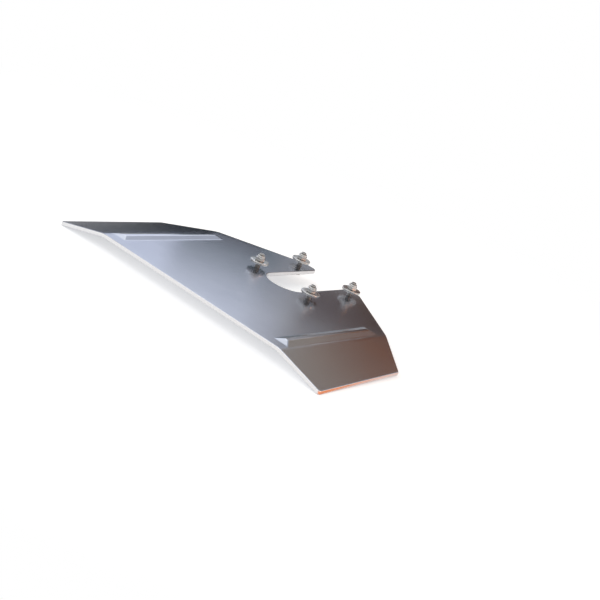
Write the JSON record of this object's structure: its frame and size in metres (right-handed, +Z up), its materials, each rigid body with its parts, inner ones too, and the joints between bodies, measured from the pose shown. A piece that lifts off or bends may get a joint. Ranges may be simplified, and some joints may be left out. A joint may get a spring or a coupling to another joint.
{
  "type": "outboard hydrofoil",
  "caption": "Folded metal plate with two down-turned wings, pressed ribs and a U slot, clamped under an outboard motor's anti-ventilation plate by bolts, wide washers and locking nuts.",
  "frame": {"origin": "middle of the four-bolt pattern, on the plate's top face, which seats against the underside of the motor's anti-ventilation plate", "axes": "+X to starboard, across the wings; +Y forward, towards the open end of the slot; +Z up, out of the seating face"},
  "size_m": [0.473, 0.348, 0.0459],
  "materials": {
    "plate": "satin, natural marine-grade sheet with lightly rounded bright edges",
    "stainless": "bright stainless steel",
    "nylon": "plain white nylon"
  },
  "bodies": {
    "foil": {"foil_plate": "plate", "bolt_rear_port": "stainless", "bolt_rear_starboard": "stainless", "bolt_front_port": "stainless", "bolt_front_starboard": "stainless", "lower_washer_rear_port": "stainless", "lower_washer_rear_starboard": "stainless", "lower_washer_front_port": "stainless", "lower_washer_front_starboard": "stainless"},
    "washer_rear_port": {"upper_washer_rear_port": "stainless"},
    "locknut_rear_port": {"nut_rear_port": "stainless", "nut_insert_rear_port": "nylon"},
    "washer_rear_starboard": {"upper_washer_rear_starboard": "stainless"},
    "locknut_rear_starboard": {"nut_rear_starboard": "stainless", "nut_insert_rear_starboard": "nylon"},
    "washer_front_port": {"upper_washer_front_port": "stainless"},
    "locknut_front_port": {"nut_front_port": "stainless", "nut_insert_front_port": "nylon"},
    "washer_front_starboard": {"upper_washer_front_starboard": "stainless"},
    "locknut_front_starboard": {"nut_front_starboard": "stainless", "nut_insert_front_starboard": "nylon"}
  },
  "joints": [
    {"name": "rear_port_nut_travel", "type": "slide", "parent": "foil", "child": "washer_rear_port", "axis": [0, 0, 1], "range_m": [-0.0075, 0.01]},
    {"name": "rear_port_nut_turn", "type": "hinge", "parent": "washer_rear_port", "child": "locknut_rear_port", "pos_m": [-0.049, -0.054, 0.0105], "axis": [0, 0, 1], "range_deg": [-2160, 2880]},
    {"name": "rear_starboard_nut_travel", "type": "slide", "parent": "foil", "child": "washer_rear_starboard", "axis": [0, 0, 1], "range_m": [-0.0075, 0.01]},
    {"name": "rear_starboard_nut_turn", "type": "hinge", "parent": "washer_rear_starboard", "child": "locknut_rear_starboard", "pos_m": [0.049, -0.054, 0.0105], "axis": [0, 0, 1], "range_deg": [-2160, 2880]},
    {"name": "front_port_nut_travel", "type": "slide", "parent": "foil", "child": "washer_front_port", "axis": [0, 0, 1], "range_m": [-0.0075, 0.01]},
    {"name": "front_port_nut_turn", "type": "hinge", "parent": "washer_front_port", "child": "locknut_front_port", "pos_m": [-0.049, 0.054, 0.0105], "axis": [0, 0, 1], "range_deg": [-2160, 2880]},
    {"name": "front_starboard_nut_travel", "type": "slide", "parent": "foil", "child": "washer_front_starboard", "axis": [0, 0, 1], "range_m": [-0.0075, 0.01]},
    {"name": "front_starboard_nut_turn", "type": "hinge", "parent": "washer_front_starboard", "child": "locknut_front_starboard", "pos_m": [0.049, 0.054, 0.0105], "axis": [0, 0, 1], "range_deg": [-2160, 2880]}
  ],
  "couplings": [
    {"joint": "rear_port_nut_travel", "follows": "rear_port_nut_turn", "m_per_rad": 0.00019894},
    {"joint": "rear_starboard_nut_travel", "follows": "rear_starboard_nut_turn", "m_per_rad": 0.00019894},
    {"joint": "front_port_nut_travel", "follows": "front_port_nut_turn", "m_per_rad": 0.00019894},
    {"joint": "front_starboard_nut_travel", "follows": "front_starboard_nut_turn", "m_per_rad": 0.00019894}
  ]
}
